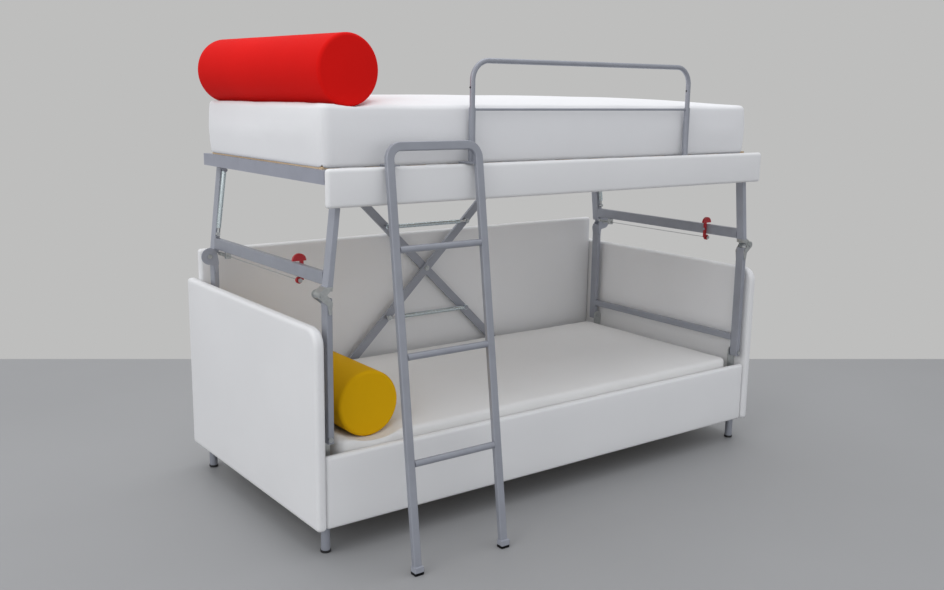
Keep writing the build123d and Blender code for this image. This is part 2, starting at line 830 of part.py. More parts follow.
for x, name in ((guard_left_x, "left"), (guard_right_x, "right")):
    tip = x - guard_tube_radius - button_proud
    with BuildPart() as button:
        rod((tip, guard_y, button_z), (tip + button_length, guard_y, button_z), button_radius)
        fillet(button.edges().group_by(Axis.X)[0], button_radius / 2)
    save(button, f"{name}_snap_button")

# Crossed brace
a_low = (brace_left_x, brace_bottom_z)
a_high = (-brace_left_x, brace_top_z)
b_low = (-brace_left_x, brace_bottom_z)
b_high = (brace_left_x, brace_top_z)
centre = (0, brace_centre_z)
strut_x = strut_arm_share * brace_half * math.cos(brace_angle)
strut_rise = strut_arm_share * brace_half * math.sin(brace_angle)
strut_y = arm_a_y0 - brace_strut_gap
strut_half = strut_eye_thick / 2
pin_y = strut_y - strut_half - fit_gap

with BuildPart() as channel:
    inner_y0 = arm_a_y0 - channel_side_gap
    inner_y1 = arm_b_y1 + channel_side_gap
    floor = brace_bottom_z - brace_roller_radius - fit_gap
    x0 = brace_left_x - channel_end_gap - brace_roller_radius
    x1 = brace_folded_x + channel_end_gap + brace_roller_radius
    block(
        x0, x1, inner_y0 - channel_wall, inner_y1 + channel_wall, floor - channel_wall,
        floor - channel_wall + channel_depth,
    )
    block(x0, x1, inner_y0, inner_y1, floor, floor + channel_depth, Mode.SUBTRACT)
    rod(
        (brace_left_x, inner_y0 - channel_wall, brace_bottom_z),
        (brace_left_x, inner_y1 + channel_wall, brace_bottom_z),
        brace_bolt_radius + pin_clearance, Mode.SUBTRACT,
    )
save(channel, "brace_channel")

with BuildPart() as top_channel:
    ceiling = brace_top_z + brace_roller_radius + fit_gap
    block(
        x0, x1, inner_y0 - channel_wall, inner_y1 + channel_wall,
        ceiling + channel_wall - channel_depth, ceiling + channel_wall,
    )
    block(x0, x1, inner_y0, inner_y1, ceiling - channel_depth, ceiling, Mode.SUBTRACT)
    for x in brace_bracket_places:
        block(
            x - bracket_width / 2, x + bracket_width / 2, long_rail_rear_y1, inner_y0 - channel_wall,
            ceiling - tube_thick, ceiling,
        )
save(top_channel, "brace_top_channel")

with BuildPart() as arm_a:
    disc_link(arm_a_y0, arm_a_y1, a_low, brace_bar_width / 2, a_high, brace_bar_width / 2)
    rod((a_high[0], arm_a_y0, a_high[1]), (a_high[0], arm_a_y1, a_high[1]), brace_roller_radius)
    rod((0, arm_a_y0, brace_centre_z), (0, arm_a_y1, brace_centre_z), brace_bolt_radius, Mode.SUBTRACT)
    rod((a_low[0], arm_a_y0, a_low[1]), (a_low[0], arm_a_y1, a_low[1]), brace_bolt_radius, Mode.SUBTRACT)
    for x, z in ((strut_x, brace_centre_z + strut_rise), (-strut_x, brace_centre_z - strut_rise)):
        rod((x, arm_a_y0, z), (x, arm_a_y1, z), strut_pin_radius, Mode.SUBTRACT)
save(arm_a, "brace_arm_a")

with BuildPart() as arm_b:
    disc_link(arm_b_y0, arm_b_y1, b_low, brace_bar_width / 2, b_high, brace_bar_width / 2)
    for x, z in (b_low, b_high):
        rod((x, arm_b_y0, z), (x, arm_b_y1, z), brace_roller_radius)
    rod(
        (0, arm_b_y0, brace_centre_z), (0, arm_b_y1, brace_centre_z),
        brace_bolt_radius + pin_clearance, Mode.SUBTRACT,
    )
    for x, z in ((-strut_x, brace_centre_z + strut_rise), (strut_x, brace_centre_z - strut_rise)):
        rod((x, pin_y, z), (x, arm_b_y0, z), strut_pin_radius)
        rod((x, pin_y - pin_head_thick, z), (x, pin_y, z), 2 * strut_pin_radius)
save(arm_b, "brace_arm_b")

with BuildPart() as brace_pins:
    rod((0, arm_a_y0, brace_centre_z), (0, arm_b_y1 + fit_gap, brace_centre_z), brace_bolt_radius)
    washer_y = arm_a_y0 - brace_washer_thick
    nut_y = arm_b_y1 + fit_gap
    rod((0, washer_y, brace_centre_z), (0, arm_a_y0, brace_centre_z), brace_washer_radius)
    rod((0, washer_y - brace_nut_thick, brace_centre_z), (0, washer_y, brace_centre_z), brace_nut_radius)
    rod((0, nut_y, brace_centre_z), (0, nut_y + brace_nut_thick, brace_centre_z), brace_nut_radius)
    rod(
        (a_low[0], inner_y0 - channel_wall - brace_pin_proud, a_low[1]),
        (a_low[0], inner_y1 + channel_wall + brace_pin_proud, a_low[1]), brace_bolt_radius,
    )
    for x, z in ((strut_x, brace_centre_z + strut_rise), (-strut_x, brace_centre_z - strut_rise)):
        rod((x, pin_y, z), (x, arm_a_y1, z), strut_pin_radius)
        rod((x, pin_y - pin_head_thick, z), (x, pin_y, z), 2 * strut_pin_radius)
save(brace_pins, "brace_pins")

# Struts across the brace; the tube sits on arm b and the rod on arm a
for level, name, way in (
    (brace_centre_z + strut_rise, "upper", 1), (brace_centre_z - strut_rise, "lower", -1),
):
    x_tube = -way * strut_x
    x_rod = way * strut_x
    tube_start = x_tube + way * strut_tube_start
    tube_end = x_rod - way * strut_tube_end
    with BuildPart() as strut_cylinder:
        rod((tube_start, strut_y, level), (tube_end, strut_y, level), strut_tube_radius)
        rod(
            (tube_start + way * strut_tube_end / 2, strut_y, level), (tube_end, strut_y, level),
            strut_rod_radius + fit_gap, Mode.SUBTRACT,
        )
        block(
            min(x_tube, tube_start + way), max(x_tube, tube_start + way), strut_y - strut_half,
            strut_y + strut_half,
            level - strut_rod_radius, level + strut_rod_radius,
        )
        rod(
            (x_tube, strut_y - strut_half, level), (x_tube, strut_y + strut_half, level),
            strut_eye_radius,
        )
        rod(
            (x_tube, strut_y - strut_half, level), (x_tube, strut_y + strut_half, level),
            strut_pin_radius + pin_clearance, Mode.SUBTRACT,
        )
    save(strut_cylinder, f"{name}_strut_cylinder")
    with BuildPart() as strut_rod:
        rod(
            (tube_start + way * strut_tube_end, strut_y, level), (x_rod, strut_y, level),
            strut_rod_radius,
        )
        rod((x_rod, strut_y - strut_half, level), (x_rod, strut_y + strut_half, level), strut_eye_radius)
        rod(
            (x_rod, strut_y - strut_half, level), (x_rod, strut_y + strut_half, level),
            strut_pin_radius + pin_clearance, Mode.SUBTRACT,
        )
    save(strut_rod, f"{name}_strut_rod")

# Struts at the ends of the upper bed
for side, name in ((-1, "left"), (1, "right")):
    top = Vector(side * gas_top_x, gas_y, gas_top_z)
    bottom = Vector(side * gas_bottom_x, gas_y, gas_bottom_z)
    run = (bottom - top).normalized()
    length = (bottom - top).length
    with BuildPart() as gas_cylinder:
        rod(tuple(top + run * gas_eye_half), tuple(top + run * length * gas_tube_share), gas_tube_radius)
        rod(
            tuple(top + run * 3 * gas_eye_radius), tuple(top + run * length * gas_tube_share),
            gas_rod_radius + fit_gap, Mode.SUBTRACT,
        )
        rod((top.X, gas_y - gas_eye_half, top.Z), (top.X, gas_y + gas_eye_half, top.Z), gas_eye_radius)
        rod(
            (top.X, gas_y - gas_tube_radius, top.Z), (top.X, gas_y + gas_tube_radius, top.Z),
            gas_pin_radius + pin_clearance, Mode.SUBTRACT,
        )
    save(gas_cylinder, f"{name}_gas_cylinder")
    with BuildPart() as gas_rod:
        rod(tuple(top + run * 4 * gas_eye_radius), tuple(bottom), gas_rod_radius)
        rod(
            (bottom.X, gas_y - gas_eye_half, bottom.Z), (bottom.X, gas_y + gas_eye_half, bottom.Z),
            gas_eye_radius,
        )
    save(gas_rod, f"{name}_gas_rod")

# Ladder
lean = math.tan(math.radians(ladder_lean))
side_lean = math.tan(math.radians(ladder_side_lean))
ladder_foot_y = -total_depth / 2 + ladder_foot_inset


def ladder_point(x, z):
    """A point in the leaning plane of the ladder."""
    return Vector(x + z * side_lean, ladder_foot_y + z * lean, z)


ladder_left = ladder_x - ladder_half_width
ladder_right = ladder_x + ladder_half_width
ladder_bar_z = ladder_top_z - ladder_tube_width / 2
ladder_run = (ladder_point(ladder_left, 1) - ladder_point(ladder_left, 0)).normalized()
with BuildPart() as ladder_frame:
    with BuildLine() as path:
        FilletPolyline(
            ladder_point(ladder_left, ladder_cap_floor), ladder_point(ladder_left, ladder_bar_z),
            ladder_point(ladder_right, ladder_bar_z), ladder_point(ladder_right, ladder_cap_floor),
            radius=ladder_bend,
        )
    with BuildSketch(
        Plane(origin=ladder_point(ladder_left, ladder_cap_floor), x_dir=(1, 0, 0), z_dir=ladder_run)
    ):
        RectangleRounded(ladder_tube_width, ladder_tube_depth, ladder_corner)
    sweep(path=path.line)
    rail_back_y = ladder_point(0, upper_panel_top).Y
    for x, way in ((ladder_left, 1), (ladder_right, -1)):
        rail_x = ladder_point(x, upper_panel_top).X
        x0, x1 = sorted((rail_x + way * hook_inset, rail_x + way * ladder_hook_reach))
        block(
            x0, x1, rail_back_y, hook_lip_y + hook_thick, upper_panel_top + seat_gap,
            upper_panel_top + seat_gap + hook_thick,
        )
        block(
            x0, x1, hook_lip_y, hook_lip_y + hook_thick, upper_panel_top - hook_drop,
            upper_panel_top + seat_gap + hook_thick,
        )
save(ladder_frame, "ladder_frame")

with BuildPart() as ladder_rungs:
    for z in rung_heights:
        half = ladder_half_width - ladder_tube_width / 2 - rung_gap
        spot = ladder_point(ladder_x - half, z)
        rod(tuple(spot), tuple(ladder_point(ladder_x + half, z)), rung_radius)
save(ladder_rungs, "ladder_rungs")

with BuildPart() as ladder_feet:
    for x in (ladder_left, ladder_right):
        half = ladder_tube_width / 2 + ladder_cap_wall
        block(
            x - half, x + half, -total_depth / 2, -total_depth / 2 + ladder_cap_depth, 0,
            ladder_cap_height,
        )
    fillet(ladder_feet.edges().filter_by(Axis.Z), ladder_cap_wall)
    for x in (ladder_left, ladder_right):
        tube(
            tuple(ladder_point(x, ladder_cap_floor)), tuple(ladder_point(x, 2 * ladder_cap_height)),
            (1, 0, 0), ladder_tube_width, ladder_tube_depth, ladder_corner, Mode.SUBTRACT,
        )
save(ladder_feet, "ladder_feet")
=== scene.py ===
import math

import bmesh
import bpy
from mathutils import Matrix, Vector, noise


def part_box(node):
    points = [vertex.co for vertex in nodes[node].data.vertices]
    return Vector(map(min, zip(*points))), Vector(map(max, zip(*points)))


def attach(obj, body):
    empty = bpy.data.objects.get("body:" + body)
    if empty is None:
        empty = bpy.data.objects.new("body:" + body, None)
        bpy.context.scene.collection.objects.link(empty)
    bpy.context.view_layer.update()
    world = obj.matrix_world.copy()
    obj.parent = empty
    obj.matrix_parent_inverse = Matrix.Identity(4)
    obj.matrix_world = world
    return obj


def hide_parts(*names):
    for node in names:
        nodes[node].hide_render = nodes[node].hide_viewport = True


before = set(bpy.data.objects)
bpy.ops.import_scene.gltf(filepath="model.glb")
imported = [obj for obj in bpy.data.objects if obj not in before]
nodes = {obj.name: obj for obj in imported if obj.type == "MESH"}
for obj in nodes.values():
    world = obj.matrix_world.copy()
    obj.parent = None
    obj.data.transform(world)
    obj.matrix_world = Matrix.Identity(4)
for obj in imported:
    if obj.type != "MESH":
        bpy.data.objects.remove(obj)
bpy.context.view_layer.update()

X, Y, Z = range(3)
TINY = 1e-9

# The photograph's camera, solved from the straight edges of the bed
CAMERA_PLACE = Vector((-2.428659, -3.054856, 1.464062))
CAMERA_YAW = 0.638
CAMERA_PITCH = 0.199
CAMERA_ROLL = 0.014
CAMERA_LENS = 38.656


# Materials
THREAD_DRAW = 0.12
MIX_COLORS = (6, 7)
MIX_RESULT = 2


class Finish:
    """A material under construction: its nodes, and short ways to add to them."""

    def __init__(self, name, color, roughness, metallic=0.0):
        self.material = bpy.data.materials.new(name)
        self.material.use_nodes = True
        self.tree = self.material.node_tree
        self.shader = self.tree.nodes["Principled BSDF"]
        self.shader.inputs["Base Color"].default_value = (*color, 1)
        self.shader.inputs["Roughness"].default_value = roughness
        self.shader.inputs["Metallic"].default_value = metallic
        self.place = self.add("ShaderNodeTexCoord").outputs["Object"]
        self.normal = None

    def add(self, kind, **settings):
        """Adds a node; each setting is an input's value where the node has that input."""
        node = self.tree.nodes.new(kind)
        for key, value in settings.items():
            if key in node.inputs:
                node.inputs[key].default_value = value
            else:
                setattr(node, key, value)
        return node

    def link(self, output, node, socket):
        self.tree.links.new(output, node.inputs[socket])

    def noise(self, scale, detail, stretch=None):
        node = self.add("ShaderNodeTexNoise", Scale=scale, Detail=detail)
        place = self.place
        if stretch:
            mapping = self.add("ShaderNodeMapping", Scale=stretch)
            self.link(place, mapping, "Vector")
            place = mapping.outputs["Vector"]
        self.link(place, node, "Vector")
        return node.outputs["Fac"]

    def cells(self, scale):
        node = self.add("ShaderNodeTexVoronoi", Scale=scale)
        self.link(self.place, node, "Vector")
        return node.outputs["Distance"]

    def weave(self, scale):
        """Threads that cross: fine noise drawn out along two directions."""
        total = self.add("ShaderNodeMath", operation="ADD")
        drawn = ((1, 1, THREAD_DRAW), (THREAD_DRAW, THREAD_DRAW, 1))
        for socket, stretch in enumerate(drawn):
            self.link(self.noise(scale, 2.0, stretch), total, socket)
        return total.outputs[0]

    def ramp(self, value, stops):
        node = self.add("ShaderNodeValToRGB")
        while len(node.color_ramp.elements) < len(stops):
            node.color_ramp.elements.new(0.5)
        for element, (place, color) in zip(node.color_ramp.elements, stops):
            element.position = place
            element.color = (*color, 1)
        self.link(value, node, "Fac")
        return node.outputs["Color"]

    def color(self, value, stops):
        self.link(self.ramp(value, stops), self.shader, "Base Color")

    def rough(self, value, low, high):
        node = self.add("ShaderNodeMapRange")
        node.inputs["To Min"].default_value = low
        node.inputs["To Max"].default_value = high
        self.link(value, node, "Value")
        self.link(node.outputs["Result"], self.shader, "Roughness")

    def bump(self, height, distance, strength):
        node = self.add("ShaderNodeBump", Distance=distance, Strength=strength)
        self.link(height, node, "Height")
        if self.normal is not None:
            self.link(self.normal, node, "Normal")
        self.normal = node.outputs["Normal"]
        self.link(self.normal, self.shader, "Normal")


def shades(color, spread):
    """Two stops round a colour, a little darker and a little lighter."""
    dark = tuple(c * (1 - spread) for c in color)
    light = tuple(min(1, c * (1 + spread)) for c in color)
    return [(0.3, dark), (0.7, light)]


def cloth_finish(name, color, spread, thread, sheen, roughness):
    """Woven cloth: threads, soft folds and a faint change of shade."""
    finish = Finish(name, color, roughness)
    finish.color(finish.noise(scale=3.0, detail=4.0), shades(color, spread))
    finish.bump(finish.weave(thread), distance=0.0003, strength=0.5)
    finish.bump(finish.noise(scale=9.0, detail=3.0), distance=0.003, strength=0.3)
    finish.shader.inputs["Specular IOR Level"].default_value = 0.08
    finish.shader.inputs["Sheen Weight"].default_value = sheen
    finish.shader.inputs["Sheen Roughness"].default_value = 0.5
    return finish.material


def leatherette_finish(name, color):
    """Coated upholstery: fine pebbled grain and long shallow waves."""
    finish = Finish(name, color, roughness=0.5)
    finish.color(finish.noise(scale=2.0, detail=4.0), shades(color, spread=0.02))
    finish.rough(finish.noise(scale=30.0, detail=4.0), low=0.42, high=0.58)
    finish.bump(finish.cells(scale=650.0), distance=0.0003, strength=0.6)
    finish.bump(finish.noise(scale=5.0, detail=2.0), distance=0.006, strength=0.3)
    finish.shader.inputs["Specular IOR Level"].default_value = 0.4
    return finish.material


def paint_finish(name, color, roughness=0.38):
    """Satin powder coat: fine orange peel over a faint metallic grey."""
    finish = Finish(name, color, roughness, metallic=0.35)
    finish.color(finish.noise(scale=14.0, detail=5.0), shades(color, spread=0.05))
    finish.rough(finish.noise(scale=60.0, detail=4.0), roughness - 0.06, roughness + 0.08)
    finish.bump(finish.noise(scale=900.0, detail=2.0), distance=0.0002, strength=0.35)
    return finish.material


def zinc_finish(name, color, roughness=0.3):
    """Plated steel with a faint spangle and drawn lines."""
    finish = Finish(name, color, roughness, metallic=1.0)
    finish.color(finish.cells(scale=90.0), shades(color, spread=0.05))
    finish.rough(finish.noise(scale=160.0, detail=3.0), roughness - 0.04, roughness + 0.08)
    finish.bump(finish.noise(scale=400.0, detail=2.0), distance=0.00005, strength=0.2)
    return finish.material


def moulded_finish(name, color, roughness):
    """Moulded plastic with a spark-eroded texture."""
    finish = Finish(name, color, roughness)
    finish.rough(finish.noise(scale=120.0, detail=4.0), roughness - 0.08, roughness + 0.1)
    finish.bump(finish.noise(scale=1200.0, detail=2.0), distance=0.0002, strength=0.4)
    finish.shader.inputs["Coat Weight"].default_value = 0.15
    return finish.material


def two_tone_finish(name, limits, paint_color, metal_color):
    """Satin paint, and metal in metal_color where a place is on the given side of every limit.
    A limit is the axis, the place on it, and whether the metal is above that place."""
    finish = Finish(name, paint_color, roughness=0.38)
    split = finish.add("ShaderNodeSeparateXYZ")
    finish.link(finish.place, split, "Vector")
    inside = None
    for axis, place, above in limits:
        side = finish.add("ShaderNodeMath", operation="GREATER_THAN" if above else "LESS_THAN")
        side.inputs[1].default_value = place
        finish.link(split.outputs[axis], side, 0)
        if inside is None:
            inside = side.outputs[0]
        else:
            both = finish.add("ShaderNodeMath", operation="MULTIPLY")
            finish.link(inside, both, 0)
            finish.link(side.outputs[0], both, 1)
            inside = both.outputs[0]
    mix = finish.add("ShaderNodeMix", data_type="RGBA")
    finish.link(inside, mix, "Factor")
    paint_grain = finish.noise(scale=14.0, detail=5.0)
    finish.link(finish.ramp(paint_grain, shades(paint_color, spread=0.05)), mix, MIX_COLORS[0])
    spangle = finish.cells(scale=90.0)
    finish.link(finish.ramp(spangle, shades(metal_color, spread=0.05)), mix, MIX_COLORS[1])
    finish.link(mix.outputs[MIX_RESULT], finish.shader, "Base Color")
    finish.link(inside, finish.shader, "Metallic")
    finish.rough(finish.noise(scale=120.0, detail=3.0), low=0.3, high=0.42)
    finish.bump(finish.noise(scale=700.0, detail=2.0), distance=0.0001, strength=0.3)
    return finish.material


def wood_finish(name):
    """Bonded birch: long grain with darker streaks."""
    finish = Finish(name, (0.62, 0.44, 0.26), roughness=0.5)
    finish.color(
        finish.noise(scale=26.0, detail=6.0, stretch=(1, 0.06, 1)),
        [(0.3, (0.52, 0.35, 0.19)), (0.55, (0.66, 0.48, 0.29)), (0.8, (0.74, 0.57, 0.37))],
    )
    pores = finish.noise(scale=180.0, detail=3.0, stretch=(1, 0.05, 1))
    finish.bump(pores, distance=0.0003, strength=0.4)
    return finish.material


PAINT = (0.335, 0.35, 0.395)
RAIL_GREY = (0.36, 0.375, 0.44)
PLATE = (0.55, 0.57, 0.57)
GAS_TUBE = (0.62, 0.70, 0.73)
BRIGHT_STEEL = (0.62, 0.64, 0.65)
WHITE = (0.80, 0.80, 0.80)
COOL_WHITE = (0.80, 0.80, 0.805)
CREAM = (0.79, 0.785, 0.77)
BOLSTER_RED = (0.70, 0.007, 0.005)
BOLSTER_YELLOW = (0.74, 0.41, 0.003)
LEVER_COLOR = (0.42, 0.010, 0.016)
FOOT_BLACK = (0.02, 0.02, 0.022)
PLASTIC_BLACK = (0.018, 0.018, 0.02)

SHEET = {"spread": 0.015, "thread": 620.0, "sheen": 0.05, "roughness": 0.85}
CUSHION = {"spread": 0.04, "thread": 700.0, "sheen": 0.0, "roughness": 0.75}

# Where painted pieces turn to plated or black parts
FRONT_SIDE = (Y, 0.0, False)
ABOVE_END_RAIL = (Z, 0.211, True)
BELOW_POST = (Z, 0.872, False)
LADDER_CAP = (Z, 0.009, False)

WHITE_HIDE = leatherette_finish("white_leatherette", WHITE)
WHITE_COVER = cloth_finish("white_cover", COOL_WHITE, **SHEET)
CREAM_COVER = cloth_finish("lower_cover", CREAM, **SHEET)
RED_CLOTH = cloth_finish("red_cloth", BOLSTER_RED, **CUSHION)
YELLOW_CLOTH = cloth_finish("yellow_cloth", BOLSTER_YELLOW, **CUSHION)
FRAME_PAINT = paint_finish("frame_paint", PAINT)
RAIL_PAINT = paint_finish("rail_paint", RAIL_GREY, roughness=0.34)
ZINC = zinc_finish("zinc_steel", PLATE)
GAS_ZINC = zinc_finish("gas_tube_zinc", GAS_TUBE, roughness=0.24)
ROD_STEEL = zinc_finish("rod_steel", BRIGHT_STEEL, roughness=0.18)
KNEE_PLATE = two_tone_finish("knee_plate", [FRONT_SIDE], PAINT, PLATE)
BRACKET = two_tone_finish("end_bracket", [ABOVE_END_RAIL], PAINT, PLATE)
POST = two_tone_finish("post_and_lug", [FRONT_SIDE, BELOW_POST], PAINT, PLATE)
LADDER_FOOT = two_tone_finish("ladder_foot", [LADDER_CAP], PAINT, FOOT_BLACK)
LEVER_RED = moulded_finish("lever_red", LEVER_COLOR, roughness=0.35)
BLACK = moulded_finish("black_plastic", PLASTIC_BLACK, roughness=0.5)
WOOD = wood_finish("birch_slat")

FINISH_WORDS = (
    (("foot_glides", "snap_button"), BLACK),
    (("ladder_feet",), LADDER_FOOT),
    (("slats",), WOOD),
    (("release_lever",), LEVER_RED),
    (("gas_rod", "strut_rod"), ROD_STEEL),
    (("gas_cylinder", "strut_cylinder"), GAS_ZINC),
    (("knee_plates",), KNEE_PLATE),
    (("base_end_rails",), BRACKET),
    (("upper_posts",), POST),
    (("bolts", "pins", "latch"), ZINC),
    (("upper_end_rails",), RAIL_PAINT),
)


def finish_of(name):
    """The finish of a CAD node that stays on show: the first whose word is in its name."""
    for words, finish in FINISH_WORDS:
        if any(word in name for word in words):
            return finish
    return FRAME_PAINT


def paint(obj, material):
    obj.data.materials.clear()
    obj.data.materials.append(material)


for name, node in nodes.items():
    paint(node, finish_of(name))


# Shapes
def corners(node):
    low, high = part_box(node)
    return Vector(low), Vector(high)


def stations(low, high, near, step):
    """Places along one side of a box: at the near distances from both ends, and about step
    apart between them."""
    room = high - low - 2 * near[-1]
    count = max(1, round(room / step))
    middle = [low + near[-1] + room * k / count for k in range(1, count)]
    return [low + d for d in near] + middle + [high - d for d in reversed(near)]


def shell(xs, ys, zs):
    """The points and faces of a box's surface, as a grid of quads through these places."""
    sizes = (len(xs), len(ys), len(zs))
    index, points, faces = {}, [], []

    def vertex(i, j, k):
        key = (i, j, k)
        if key not in index:
            index[key] = len(points)
            points.append(Vector((xs[i], ys[j], zs[k])))
        return index[key]

    for axis in range(3):
        first, second = [a for a in range(3) if a != axis]
        for end in (0, sizes[axis] - 1):
            for a in range(sizes[first] - 1):
                for b in range(sizes[second] - 1):
                    loop = []
                    for da, db in ((0, 0), (1, 0), (1, 1), (0, 1)):
                        key = [0, 0, 0]
                        key[axis], key[first], key[second] = end, a + da, b + db
                        loop.append(vertex(*key))
                    if (end == 0) == (axis != 1):
                        loop.reverse()
                    faces.append(loop)
    return points, faces


def mesh_object(name, points, faces, material):
    mesh = bpy.data.meshes.new(name)
    mesh.from_pydata([tuple(p) for p in points], [], faces)
    mesh.validate()
    for polygon in mesh.polygons:
        polygon.use_smooth = True
    obj = bpy.data.objects.new(name, mesh)
    bpy.context.scene.collection.objects.link(obj)
    mesh.materials.append(material)
    bm = bmesh.new()
    bm.from_mesh(mesh)
    bmesh.ops.recalc_face_normals(bm, faces=bm.faces)
    bm.to_mesh(mesh)
    bm.free()
    return obj


def round_corner(a, b):
    """Moves a place in a square corner on to the round one.
    Both shares run from the middle of the round, up to 1."""
    reach = max(a, b)
    length = math.hypot(a, b)
    return (a * reach / length, b * reach / length) if length > 0 else (0, 0)


EDGE_SHARES = (0, 0.1, 0.25, 0.45, 0.7, 1)
CORNER_SHARES = (0.35, 0.55, 0.78, 1)
CLEAR_OF_EDGE = 1.15


class SoftBox:
    """A box with round corners in the plane across its thin axis, and soft edges along both of
    its thin faces. rounds gives the corner rounds by (first, second) side of the two long axes,
    -1 or 1; edges gives the edge rounds of the low and the high face."""

    def __init__(self, low, high, thin, rounds, edges):
        self.low, self.high, self.thin, self.rounds, self.edges = low, high, thin, rounds, edges
        self.long_axes = [a for a in range(3) if a != thin]
        self.middle = (low + high) / 2
        self.half = (high - low) / 2

    def surface(self, step):
        """The points and faces of the square box, close together where it will be rounded."""
        edge = max(self.edges)
        near = [edge * share for share in EDGE_SHARES]
        corner = max(self.rounds.values())
        in_corner = [corner * share for share in CORNER_SHARES]
        wide = near + [place for place in in_corner if place > edge * CLEAR_OF_EDGE]
        places = [wide, wide, wide]
        places[self.thin] = near
        return shell(*(stations(self.low[a], self.high[a], places[a], step) for a in range(3)))

    def share(self, p, axis):
        """Where a place is along an axis, from -1 to 1."""
        return (p[axis] - self.middle[axis]) / self.half[axis]

    def past_round(self, p, axis, side, radius):
        """How far a place is into a corner's round along one axis, up to 1."""
        return ((p[axis] - self.middle[axis]) * side - (self.half[axis] - radius)) / radius

    def outline(self, p):
        """Rounds a place in plan; gives how far in from the outline it is, and the way out."""
        out = Vector((0, 0, 0))
        for sides, radius in self.rounds.items():
            a, b = [self.past_round(p, *at, radius) for at in zip(self.long_axes, sides)]
            if a > TINY and b > TINY:
                shares = round_corner(a, b)
                reach = math.hypot(*shares)
                for axis, side, share in zip(self.long_axes, sides, shares):
                    from_middle = self.half[axis] - radius + share * radius
                    p[axis] = self.middle[axis] + side * from_middle
                    out[axis] = side * share / reach
                return (1 - reach) * radius, out
        gaps = [self.half[a] - abs(p[a] - self.middle[a]) for a in self.long_axes]
        axis = self.long_axes[0 if gaps[0] < gaps[1] else 1]
        out[axis] = math.copysign(1, p[axis] - self.middle[axis])
        return min(gaps), out

    def soften(self, p):
        """Moves a place on the box's surface on to the soft form; gives the same as outline."""
        depth, out = self.outline(p)
        side = math.copysign(1, p[self.thin] - self.middle[self.thin])
        edge = self.edges[1 if side > 0 else 0]
        below = self.half[self.thin] - abs(p[self.thin] - self.middle[self.thin])
        if depth < edge and below < edge:
            a, b = 1 - depth / edge, 1 - below / edge
            new_a, new_b = round_corner(a, b)
            p += out * ((new_a - a) * edge)
            p[self.thin] += side * (new_b - b) * edge
        return depth, out


PANEL_STEP = 0.04
PANEL_EDGE = 0.0125
PANEL_PUFF = 0.0022
PUFF_INSET = 0.6
PUFF_REACH = 0.06
PUFF_SHARE = 0.5
WAVE_SHARE = 0.35
WAVE_SCALE = 3.1
FACE_SHARE = 0.9


def panel(node, thin_axis, body, rounds):
    """An upholstered board: pulled cover with soft edges, a slight crown and shallow waves."""
    low, high = corners(node)
    inset = Vector((PANEL_PUFF, PANEL_PUFF, PANEL_PUFF)) * PUFF_INSET
    box = SoftBox(low + inset, high - inset, thin_axis, rounds, (PANEL_EDGE, PANEL_EDGE))
    points, faces = box.surface(PANEL_STEP)
    for p in points:
        side = box.share(p, thin_axis)
        depth, _ = box.soften(p)
        if abs(side) > FACE_SHARE:
            swell = math.sqrt(min(1, max(0, depth) / PUFF_REACH))
            wave = PUFF_SHARE + WAVE_SHARE * noise.noise(p * WAVE_SCALE)
            p[thin_axis] += math.copysign(PANEL_PUFF, side) * swell * wave
    obj = mesh_object(node + "_cover", points, faces, WHITE_HIDE)
    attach(obj, body)
    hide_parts(node)


ARM_ROUND = 0.055
SMALL_ROUND = 0.012
SIDES = [(a, b) for a in (-1, 1) for b in (-1, 1)]
SQUARE = {side: SMALL_ROUND for side in SIDES}
ARM = {**SQUARE, (-1, 1): ARM_ROUND}
panel("left_arm_panel", X, "base", ARM)
panel("right_arm_panel", X, "base", ARM)
panel("front_panel", Y, "base", SQUARE)
panel("back_panel", Y, "base", SQUARE)
panel("upper_front_panel", Y, "upper_bed", SQUARE)


# Mattresses and bolsters
COVER_PRESSURE = 1.5
COVER_CAP = 0.003
COVER_FRAMES = 12


def inflate(obj):
    """The cover swells over its foam: a short cloth simulation, with a cap on how far each
    point moves."""
    start = [v.co.copy() for v in obj.data.vertices]
    cloth = obj.modifiers.new("cover", "CLOTH")
    cloth.settings.quality = 5
    cloth.settings.mass = 0.3
    cloth.settings.tension_stiffness = 20
    cloth.settings.compression_stiffness = 20
    cloth.settings.bending_stiffness = 0.8
    cloth.settings.use_pressure = True
    cloth.settings.uniform_pressure_force = COVER_PRESSURE
    cloth.settings.effector_weights.gravity = 0
    cloth.collision_settings.use_collision = False
    cloth.point_cache.frame_start = 1
    cloth.point_cache.frame_end = COVER_FRAMES
    scene = bpy.context.scene
    for k in range(1, COVER_FRAMES + 1):
        scene.frame_set(k)
    depsgraph = bpy.context.evaluated_depsgraph_get()
    moved = [v.co.copy() for v in obj.evaluated_get(depsgraph).data.vertices]
    obj.modifiers.clear()
    for vertex, first, last in zip(obj.data.vertices, start, moved):
        shift = last - first
        if shift.length > COVER_CAP:
            shift *= COVER_CAP / shift.length
        vertex.co = first + shift
    scene.frame_set(1)


UPPER_TURN = math.radians(4)
HOLLOW_GAP = 0.0004
HOLLOW_RISE = 2.0


